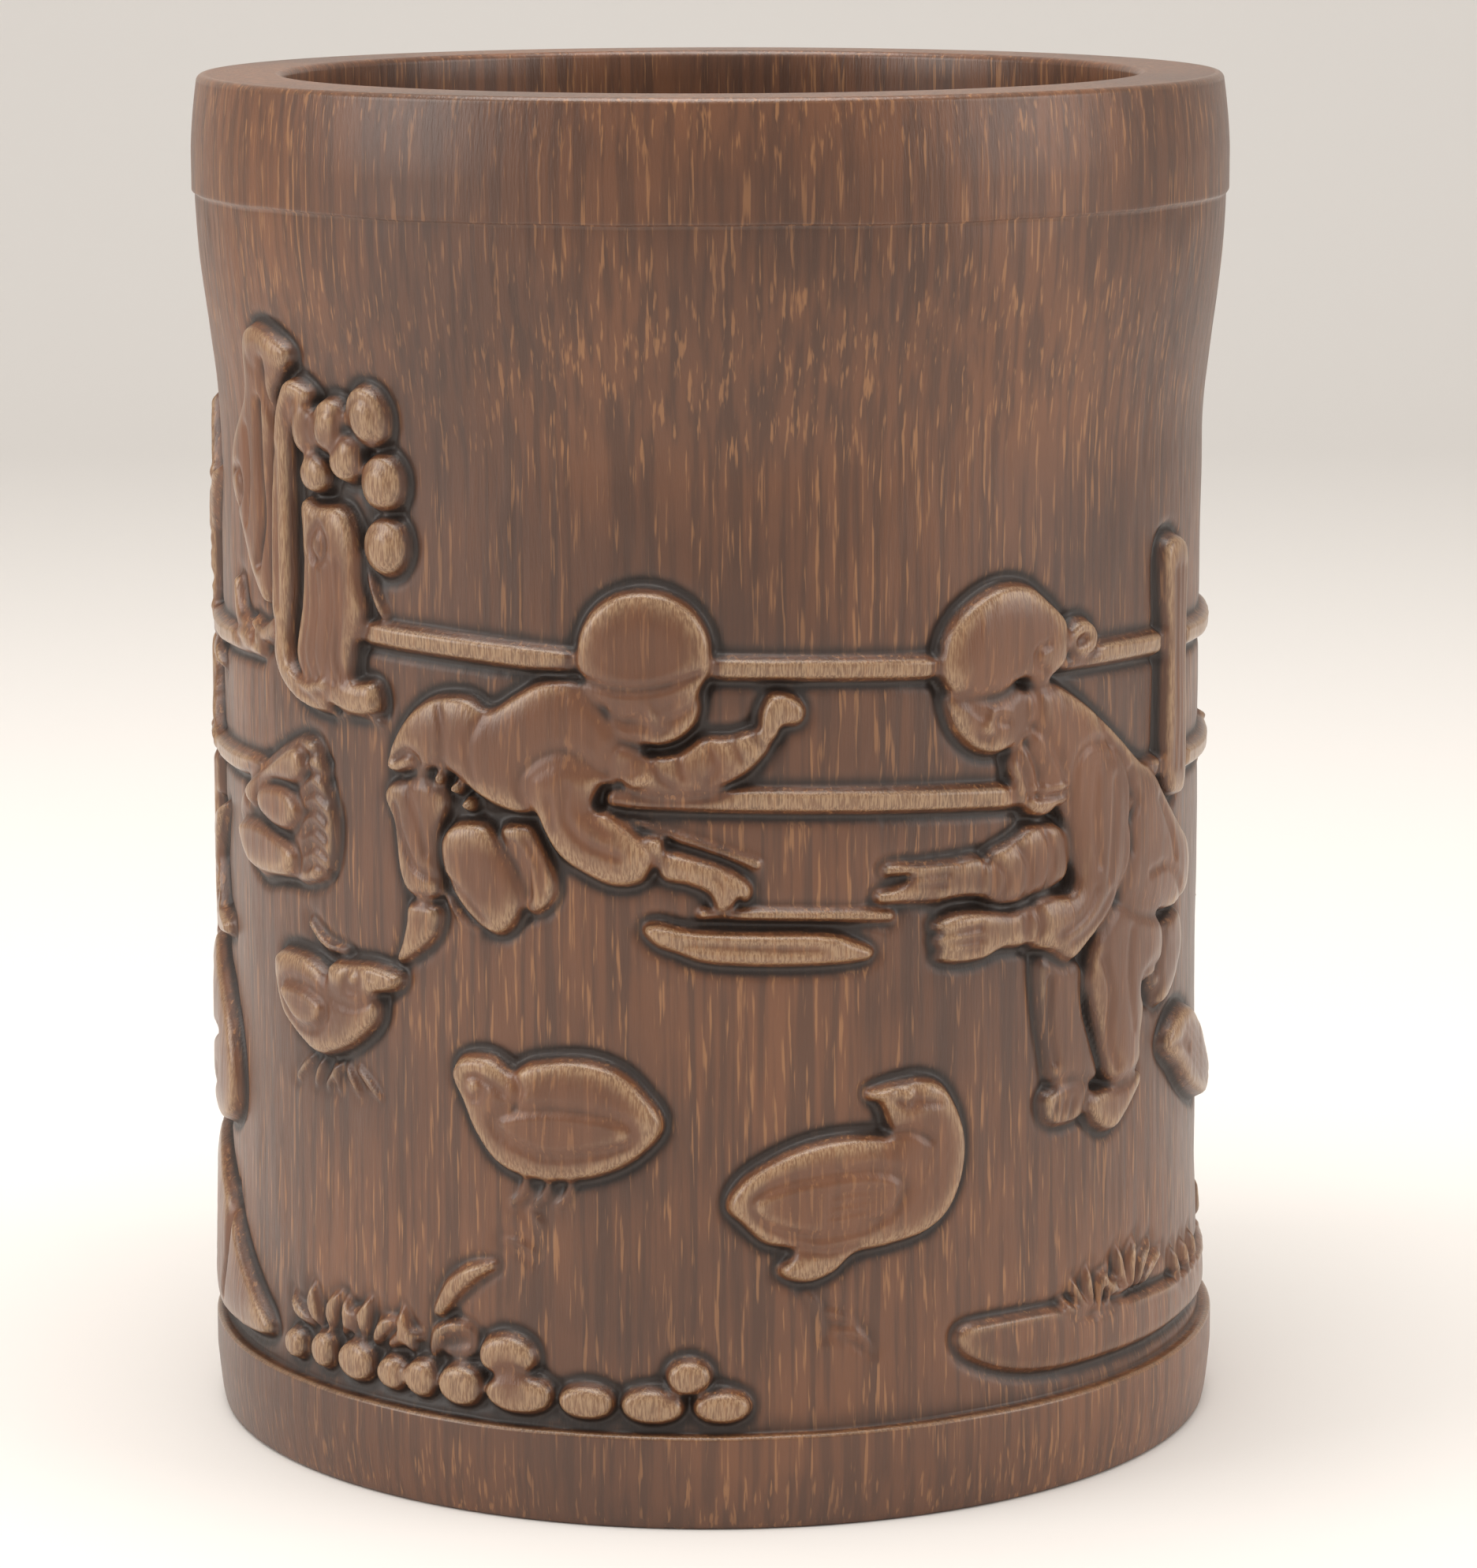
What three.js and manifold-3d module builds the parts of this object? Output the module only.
// Carved bamboo brush pot: a thick ring of culm with a raised rim band, a raised foot band and
// a scene carved in low relief between them, closed by a disc that is pegged in from below.
import * as THREE from 'three';
import { mergeVertices } from 'three/addons/utils/BufferGeometryUtils.js';
import Module from 'manifold-3d';

const wasm = await Module();
wasm.setup();

// Driving dimensions in millimetres, z up from the table, the front at -y
const potHeight = 150;
const boreRadius = 47.3;
const groundRadius = 54.7;
const rimBandRadius = 57.4;
const rimBandHeight = 13;
const rimTopInset = 0.7;
const rimEdgeRound = 0.7;
const neckStep = 0.35;
const neckFlareHeight = 27;
const footBandRadius = 57;
const footBandHeight = 10.4;
const footEdgeInset = 0.7;
const footEdgeRound = 0.6;
const skirtSpread = 0.8;
const skirtHeight = 40;
const discThickness = 6;
const discRecess = 2;
const rebateDepth = 4.7;
const fitGap = 0.3;
const pegCount = 4;
const pegDiameter = 2.4;
const pegGripInWall = 8;
const pegChamfer = 0.4;
const reliefDepth = 2.2;
const reliefRoot = 0.3;

// How finely the round forms are divided
const turnSegments = 60;
const skirtRows = 3;
const flareRows = 6;
const pegSides = 12;
const moundColumns = 8;
const moundRows = 5;
const lumpColumns = 6;
const lumpRows = 4;
const largestLump = 3.4;
const limbSides = 6;
const limbStepsPerSpan = 2;

// Levels and radii that follow from the driving dimensions
const fieldFoot = footBandHeight;
const fieldRim = potHeight - rimBandHeight;
const neckRadius = rimBandRadius - neckStep;
const rebateRadius = boreRadius + rebateDepth;
const shoulderLevel = discRecess + discThickness;
const pegCircleRadius = boreRadius + rebateDepth / 2;

// The carving is drawn on the unrolled wall: arc to the right of the front and height above
// the table, on a sheet of this radius whose ground lies between these two heights. On the
// pot it stretches between the real bands.
const sheetRadius = 55;
const sheetFoot = 10.4;
const sheetRim = 137;
const sheetLength = 2 * Math.PI * sheetRadius;
const halfSheet = sheetLength / 2;

// Radius of the ground at a height: it widens a little to the foot and flares to the rim band
function groundAt(z) {
  const skirt = THREE.MathUtils.clamp((fieldFoot + skirtHeight - z) / skirtHeight, 0, 1);
  const flare = THREE.MathUtils.smoothstep(z, fieldRim - neckFlareHeight, fieldRim);
  return groundRadius + skirtSpread * skirt ** 2 + (neckRadius - groundRadius) * flare;
}

// Point of the carving: out is its height as a share of the relief depth. At 0 it lies a little
// under the ground, so that every form is rooted in the wall.
function onWall(arc, height, out) {
  const share = (height - sheetFoot) / (sheetRim - sheetFoot);
  const z = fieldFoot + share * (fieldRim - fieldFoot);
  const radius = groundAt(z) - reliefRoot + out * (reliefDepth + reliefRoot);
  const angle = arc / sheetRadius;
  return new THREE.Vector3(radius * Math.sin(angle), -radius * Math.cos(angle), z);
}

function toSolid(geometry) {
  const bare = geometry.clone();
  bare.deleteAttribute('normal');
  bare.deleteAttribute('uv');
  const merged = mergeVertices(bare, 1e-4);
  return new wasm.Manifold(new wasm.Mesh({
    numProp: 3,
    vertProperties: new Float32Array(merged.attributes.position.array),
    triVerts: new Uint32Array(merged.index.array),
  }));
}

function toGeometry(solid) {
  const mesh = solid.getMesh();
  const geometry = new THREE.BufferGeometry();
  geometry.setAttribute('position', new THREE.BufferAttribute(mesh.vertProperties.slice(), 3));
  geometry.setIndex(new THREE.BufferAttribute(mesh.triVerts.slice(), 1));
  geometry.computeVertexNormals();
  return geometry;
}

// Body of revolution about z, from a closed profile of [radius, z] that runs anticlockwise
function revolve(profile) {
  const points = profile.map(([radius, z]) => new THREE.Vector2(radius, z));
  const geometry = new THREE.LatheGeometry(points, turnSegments);
  geometry.rotateX(Math.PI / 2);
  return geometry;
}

// Rounded form that stands half out of the ground, turned by a tilt in degrees
function mound(arc, height, halfWidth, halfHeight, out, tilt = 0) {
  const isLump = Math.max(halfWidth, halfHeight) <= largestLump;
  const geometry = isLump
    ? new THREE.SphereGeometry(1, lumpColumns, lumpRows)
    : new THREE.SphereGeometry(1, moundColumns, moundRows);
  const place = geometry.attributes.position;
  const turn = THREE.MathUtils.degToRad(tilt);
  for (let i = 0; i < place.count; i += 1) {
    const across = place.getX(i) * halfWidth;
    const up = place.getY(i) * halfHeight;
    const point = onWall(
      arc + across * Math.cos(turn) - up * Math.sin(turn),
      height + across * Math.sin(turn) + up * Math.cos(turn),
      place.getZ(i) * out,
    );
    place.setXYZ(i, point.x, point.y, point.z);
  }
  return toSolid(geometry);
}

// Rounded limb, rail or stem through points of [arc, height, half width], closed by blunt tips
function limb(points, out) {
  const route = new THREE.CatmullRomCurve3(points.map((point) => new THREE.Vector3(...point)));
  const steps = (points.length - 1) * limbStepsPerSpan;
  const vertices = [];
  const faces = [];
  const start = route.getPoint(0);
  const end = route.getPoint(1);
  const startWay = route.getTangent(0).setZ(0).normalize();
  const endWay = route.getTangent(1).setZ(0).normalize();
  const tipShare = 0.5;
  vertices.push(onWall(start.x - startWay.x * start.z * tipShare,
    start.y - startWay.y * start.z * tipShare, 0));
  for (let i = 0; i <= steps; i += 1) {
    const centre = route.getPoint(i / steps);
    const way = route.getTangent(i / steps).setZ(0).normalize();
    for (let k = 0; k < limbSides; k += 1) {
      const turn = (2 * Math.PI * k) / limbSides;
      const across = centre.z * Math.cos(turn);
      vertices.push(onWall(centre.x - way.y * across, centre.y + way.x * across,
        out * Math.sin(turn)));
    }
  }
  vertices.push(onWall(end.x + endWay.x * end.z * tipShare,
    end.y + endWay.y * end.z * tipShare, 0));
  const last = vertices.length - 1;
  for (let k = 0; k < limbSides; k += 1) {
    const next = (k + 1) % limbSides;
    faces.push(0, 1 + next, 1 + k);
    faces.push(last, last - limbSides + k, last - limbSides + next);
    for (let i = 0; i < steps; i += 1) {
      const ring = 1 + i * limbSides;
      const ahead = ring + limbSides;
      faces.push(ring + k, ring + next, ahead + k);
      faces.push(ring + next, ahead + next, ahead + k);
    }
  }
  const geometry = new THREE.BufferGeometry();
  geometry.setAttribute('position',
    new THREE.Float32BufferAttribute(vertices.flatMap((vertex) => vertex.toArray()), 3));
  geometry.setIndex(faces);
  return toSolid(geometry);
}

// Hollow old stump on the left, with a broken stub, a root and a cluster of fungi
function stump() {
  const fungi = [[-48.5, 117.5, 3], [-44.3, 114.6, 2.9], [-38.6, 116.4, 2.8],
    [-41.6, 111.8, 2.5], [-36.8, 109.4, 2.9], [-36.4, 103.2, 3.1], [-46.2, 110, 2.3]];
  return [
    limb([[-55.5, 122, 3.6], [-57.5, 113, 6], [-57, 105, 6], [-54.5, 96, 4.5], [-50, 88.5, 3]], 0.9),
    limb([[-60.5, 115, 2], [-62.8, 108, 2.6], [-60, 101, 2]], 0.7),
    limb([[-50, 113, 2.2], [-50.5, 104, 2.4], [-50, 95, 2.4]], 1),
    limb([[-44, 105, 3], [-43.5, 97, 4.2], [-42.5, 88, 3.8]], 1),
    limb([[-52, 89, 1.6], [-48, 85.5, 1.7], [-39.5, 84.8, 1.5]], 0.8),
    limb([[-67, 94, 1.4], [-61, 92.6, 1.8], [-56, 95, 2]], 0.5),
    ...fungi.map(([arc, height, size]) => mound(arc, height, size, size, 1)),
  ];
}

// Garden fence: two rails that run all the way round, and posts
function fence() {
  const postArcs = [62, 100, 138, 176, 214, 252];
  const rails = [
    limb([[-40, 93.2, 1.3], [-27, 92.9, 1.4], [-13, 91.9, 1.2]], 0.7),
    limb([[-1, 92.2, 0.9], [12, 91.9, 0.9], [26, 91.3, 0.9]], 0.6),
    limb([[-8, 78.4, 1.1], [12, 78.2, 1.2], [34, 77.2, 1.1]], 0.6),
    limb([[42, 90.3, 1.2], [62, 89.9, 1.2]], 0.6),
  ];
  const sideRails = [];
  for (let i = 0; i + 1 < postArcs.length; i += 1) {
    const from = postArcs[i];
    const to = postArcs[i + 1];
    sideRails.push(limb([[from, 89.6, 1.2], [(from + to) / 2, 89.2, 1.2], [to, 89.6, 1.2]], 0.6));
    sideRails.push(limb([[from, 76.4, 1.2], [(from + to) / 2, 76, 1.2], [to, 76.4, 1.2]], 0.6));
  }
  const posts = postArcs.map((arc) => limb([[arc, 100, 2.3], [arc, 87, 2.5], [arc, 74, 2.3]], 0.8));
  return [...rails, ...sideRails, ...posts];
}

// Boy who leans over the fighting birds from the left, one fist raised
function leaningBoy() {
  return [
    mound(-7, 93, 7, 7, 1),
    mound(-5.5, 87.6, 4.6, 4, 0.8),
    limb([[-34, 82.5, 2.6], [-28, 84.4, 4.2], [-20, 84.6, 4.8], [-12, 83.8, 4.4]], 1),
    mound(-32, 79.6, 4.4, 4.6, 0.9),
    limb([[-12, 80.4, 2], [-3, 80.8, 1.7], [3.2, 82.6, 1.4], [6, 86.4, 1.2]], 0.75),
    mound(8, 87.9, 1.9, 1.6, 0.8),
    limb([[-16.5, 80, 3], [-14.6, 75, 3], [-9, 72.9, 2.6], [-3, 71.6, 1.9]], 0.9),
    mound(0.6, 70.8, 3.6, 1.8, 0.8),
    limb([[-33.5, 77, 2.4], [-32, 71, 2.2], [-31, 65.6, 1.7]], 0.8),
    limb([[-30.6, 64, 1.3], [-33.2, 61.6, 1.5]], 0.7),
    mound(-25.4, 69.6, 4, 5, 0.9, 20),
    mound(-19.4, 68.4, 2.2, 2.4, 0.7),
  ];
}

// Boy who crouches on the right and reaches for the tray
function crouchingBoy() {
  return [
    mound(33, 92.3, 7.8, 6.6, 1, -10),
    mound(29, 87, 4.2, 3.8, 0.8),
    mound(42.4, 92.6, 1.9, 1.7, 0.9),
    limb([[43, 82, 5], [50, 76, 6.6], [56, 69, 7.4], [59, 63.4, 5.6]], 1),
    limb([[42, 80, 3.4], [41.6, 72, 3.6], [41.6, 66, 3.2]], 1),
    limb([[42, 64.8, 2.8], [37, 62.6, 2.5], [31, 62, 1.6]], 0.9),
    mound(27.4, 61.9, 3.6, 1.5, 0.8),
    limb([[39, 70, 2.8], [33, 69.6, 2.5], [28, 69, 1.6]], 0.7),
    mound(23.2, 69, 3.6, 1.2, 0.7),
    limb([[35.4, 83, 1.7], [37, 78.4, 1.8], [38.6, 74.4, 1.6]], 0.75),
    limb([[50.4, 59.4, 4.2], [47.8, 52, 3.5], [48.4, 45.4, 2.6]], 0.9),
    limb([[47.4, 41.4, 1.6], [53, 42.6, 1.4]], 0.8),
    limb([[41, 58, 2.4], [39.4, 50, 1.8], [39.4, 45.4, 1.4]], 0.6),
    limb([[39, 42.2, 1.3], [43, 41.6, 1.2]], 0.6),
    mound(56.6, 52.4, 2, 1.9, 0.6),
  ];
}

// Quails: two that fight in the open, and two that look on from the sides
function quails() {
  return [
    mound(-15, 43.4, 9.4, 5.8, 1, 4),
    mound(-24.6, 47.2, 3.6, 3, 0.9, -20),
    mound(11.4, 35.6, 9.6, 4.8, 1, 18),
    limb([[18.6, 35.4, 3.4], [23, 39.4, 3.1], [22.4, 43.4, 2.7]], 0.9),
    mound(20.2, 45.2, 3.2, 2.1, 0.8, -8),
    mound(-47.4, 52.8, 8, 4.4, 0.9, -28),
    mound(-39, 55.2, 3.4, 2.6, 0.8, 12),
    mound(65.5, 44.6, 4.8, 3.2, 0.8, 24),
    limb([[69, 42.4, 1.8], [75, 38.6, 1]], 0.6),
  ];
}

// Tray on the ground between the boys, with a rod behind it
function tray() {
  return [
    limb([[-6.4, 64, 1], [4, 62.7, 1.5], [15, 61.8, 1.2]], 0.8),
    limb([[7, 65.9, 0.5], [18.6, 65.4, 0.5]], 0.5),
  ];
}

// Faceted rock on the left, the stones and leaves on the ground line, and the bank on the right
function frontGround() {
  const stones = [[-51, 14.2, 2.2], [-46, 15, 2.6], [-41, 14.2, 2.3], [-35.4, 14.2, 2.4],
    [-30.6, 14.3, 2.2], [-26.2, 14.1, 2.1], [-22.6, 17.6, 2.4], [-18.6, 14, 2.3], [-13.6, 13.8, 2.1],
    [-8.4, 13.8, 2.3], [-3, 16.6, 2.1], [0.2, 13.8, 2.2]];
  const leaves = [[-48, 19, -50], [-43.5, 20, -20], [-38.6, 20.2, 20], [-27, 22.6, 50],
    [44.6, 21.8, 140], [49.4, 22, 70], [53.2, 23.6, 50], [57, 22.4, 25]];
  return [
    limb([[-51.4, 79.4, 1.6], [-56.6, 75.4, 2.8], [-61.4, 71, 3.4]], 0.6),
    mound(-58.4, 67.6, 5.2, 2.8, 0.6),
    mound(-52.6, 70.6, 3.8, 4.2, 0.6),
    ...stones.map(([arc, height, size]) => mound(arc, height, size, size * 0.85, 0.8)),
    ...leaves.map(([arc, height, tilt]) => mound(arc, height, 2.8, 1.1, 0.5, tilt)),
    limb([[28, 19.4, 0.8], [44, 19.6, 1.1], [62, 19, 1.2], [84, 18.4, 1.2]], 0.5),
    limb([[34, 14, 1.2], [54, 14.6, 1.6], [84, 14.6, 1.8]], 0.4),
  ];
}

// Far side: a pierced garden rock, plantain leaves, a bank and a few stones
function farSide() {
  const rock = [[0, 32, 9, 8], [-6, 44, 6, 7], [5, 47, 6.5, 8], [-2, 58, 6, 6], [6, 64, 4, 5]];
  const plantain = [[-34, 60, 118], [-26, 62, 78], [-38, 50, 150], [30, 56, 62], [38, 47, 30]];
  const stones = [-66, -52, -30, -16, 16, 34, 56, 70];
  return [
    ...rock.map(([arc, height, width, tall]) => mound(halfSheet + arc, height, width, tall, 1, 14)),
    ...plantain.map(([arc, height, tilt]) => mound(halfSheet + arc, height, 9, 2.6, 0.7, tilt)),
    ...stones.map((arc) => mound(halfSheet + arc, 15, 4, 3, 0.8)),
    limb([[-84, 20, 1.2], [-50, 21, 1.6], [-20, 20, 1.2]].map(([arc, height, half]) =>
      [halfSheet + arc, height, half]), 0.6),
    limb([[22, 20, 1.2], [50, 21, 1.6], [84, 20, 1.2]].map(([arc, height, half]) =>
      [halfSheet + arc, height, half]), 0.6),
    limb([[halfSheet + 58, 60, 1.6], [halfSheet + 62, 48, 2], [halfSheet + 60, 34, 2.4]], 0.8),
    mound(halfSheet + 56, 64, 7, 4, 0.8, 30),
    mound(halfSheet - 60, 40, 7, 4.4, 0.9, -14),
    mound(halfSheet - 68, 44.6, 3, 2.6, 0.8),
  ];
}

// Ring of culm: bands, flared neck, ground, bore, and the rebate that takes the disc
function culmRing() {
  const ground = [];
  for (let i = 0; i <= skirtRows; i += 1) {
    ground.push(fieldFoot + skirtHeight * (i / skirtRows));
  }
  for (let i = 0; i <= flareRows; i += 1) {
    ground.push(fieldRim - neckFlareHeight * (1 - i / flareRows));
  }
  const rimTopRadius = rimBandRadius - rimTopInset;
  return revolve([
    [rebateRadius, 0],
    [footBandRadius - footEdgeInset, 0],
    [footBandRadius - footEdgeInset + footEdgeRound / 2, footEdgeRound],
    [footBandRadius, fieldFoot - footEdgeRound],
    [footBandRadius - footEdgeRound / 2, fieldFoot],
    ...ground.map((z) => [groundAt(z), z]),
    [rimBandRadius, fieldRim + neckStep],
    [rimBandRadius, potHeight - rimBandHeight / 3],
    [rimTopRadius, potHeight - rimEdgeRound],
    [rimTopRadius - rimEdgeRound, potHeight],
    [boreRadius + rimEdgeRound, potHeight],
    [boreRadius, potHeight - rimEdgeRound],
    [boreRadius, shoulderLevel],
    [rebateRadius, shoulderLevel],
    [rebateRadius, 0],
  ]);
}

// Places of the pegs about the axis, the first one halfway between the front and the right
function eachPeg(make) {
  const places = [];
  for (let i = 0; i < pegCount; i += 1) {
    const angle = (2 * Math.PI * (i + 0.5)) / pegCount - Math.PI / 2;
    places.push(make(pegCircleRadius * Math.cos(angle), pegCircleRadius * Math.sin(angle), i));
  }
  return places;
}

// Upright round bar between two levels
function roundBar(x, y, radius, bottom, top) {
  const bar = new THREE.CylinderGeometry(radius, radius, top - bottom, pegSides);
  bar.rotateX(Math.PI / 2);
  bar.translate(x, y, (bottom + top) / 2);
  return bar;
}

const pegTop = shoulderLevel + pegGripInWall;
const pegHoleRadius = pegDiameter / 2 + fitGap;

function pegHoles() {
  return eachPeg((x, y) => toSolid(roundBar(x, y, pegHoleRadius, -fitGap, pegTop + fitGap)));
}

function culmWall() {
  const carving = [...stump(), ...fence(), ...leaningBoy(), ...crouchingBoy(), ...quails(),
    ...tray(), ...frontGround(), ...farSide()];
  const carved = carving.reduce((wall, form) => wall.add(form), toSolid(culmRing()));
  return toGeometry(pegHoles().reduce((wall, hole) => wall.subtract(hole), carved));
}

function baseDisc() {
  const radius = rebateRadius - fitGap;
  const disc = new THREE.CylinderGeometry(radius, radius, discThickness, turnSegments);
  disc.rotateX(Math.PI / 2);
  disc.translate(0, 0, discRecess + discThickness / 2);
  return toGeometry(pegHoles().reduce((solid, hole) => solid.subtract(hole), toSolid(disc)));
}

// Bamboo peg, flush under the disc and pointed a little at its upper end
function basePeg() {
  const radius = pegDiameter / 2;
  const length = pegTop - discRecess;
  const peg = new THREE.LatheGeometry([
    new THREE.Vector2(0, 0),
    new THREE.Vector2(radius, 0),
    new THREE.Vector2(radius, length - pegChamfer),
    new THREE.Vector2(radius - pegChamfer, length),
    new THREE.Vector2(0, length),
  ], pegSides);
  peg.rotateX(Math.PI / 2);
  return peg;
}

const bamboo = new THREE.MeshStandardMaterial({ color: 0x5a2e1a, roughness: 0.45, metalness: 0 });
const discWood = new THREE.MeshStandardMaterial({ color: 0x4a2a1a, roughness: 0.6, metalness: 0 });
const pegBamboo = new THREE.MeshStandardMaterial({ color: 0x8a6238, roughness: 0.6, metalness: 0 });

const pot = new THREE.Group();

function addPiece(name, geometry, material) {
  const piece = new THREE.Mesh(geometry, material);
  piece.name = name;
  pot.add(piece);
  return piece;
}

addPiece('culm_wall', culmWall(), bamboo);
addPiece('base_disc', baseDisc(), discWood);
eachPeg((x, y, i) => {
  const peg = addPiece(`base_peg_${i + 1}`, basePeg(), pegBamboo);
  peg.position.set(x, y, discRecess);
});

export default pot;
